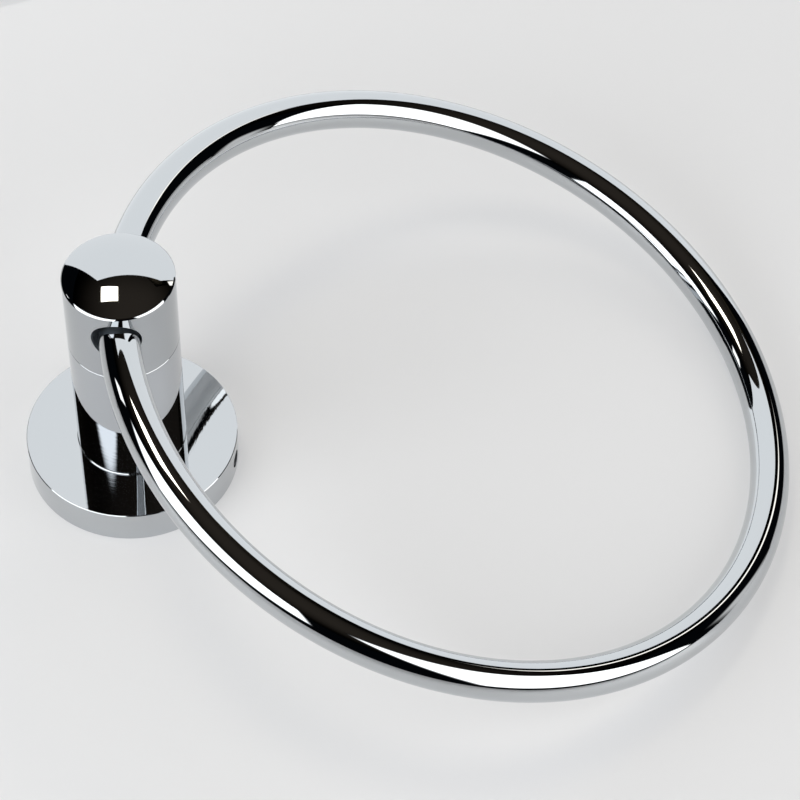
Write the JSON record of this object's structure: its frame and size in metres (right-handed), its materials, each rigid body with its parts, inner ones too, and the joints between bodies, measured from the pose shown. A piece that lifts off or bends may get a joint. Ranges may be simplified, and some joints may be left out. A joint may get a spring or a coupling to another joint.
{
  "type": "towel ring",
  "caption": "Wall-mounted towel ring: a round rod ring swings freely through a cross hole in the crowned end of a round post that stands on a round flange.",
  "frame": {"origin": "centre of the flange's back, on the wall plane", "axes": "+Z along the post, away from the wall; +X straight down on the wall, to the side that the ring leans to; Y along the ring's hinge axis"},
  "size_m": [0.1767, 0.166, 0.0677],
  "materials": {
    "polished_chrome": "mirror-polished chrome plate",
    "dark_screw_steel": "blackened steel",
    "cast_bracket": "plain cast, as it leaves the die",
    "screw_steel": "zinc-plated steel"
  },
  "bodies": {
    "post": {"wall_flange": "polished_chrome", "flange_grub_screw": "dark_screw_steel", "wall_bracket": "cast_bracket", "post_sleeve": "polished_chrome", "ring_head": "polished_chrome", "through_bolt": "screw_steel", "spring_washer": "screw_steel"},
    "ring": {"towel_ring": "polished_chrome"}
  },
  "joints": [
    {"name": "ring_swing", "type": "hinge", "parent": "post", "child": "ring", "pos_m": [0, 0, 0.0569], "axis": [0, -1, 0], "range_deg": [0, 219]}
  ]
}
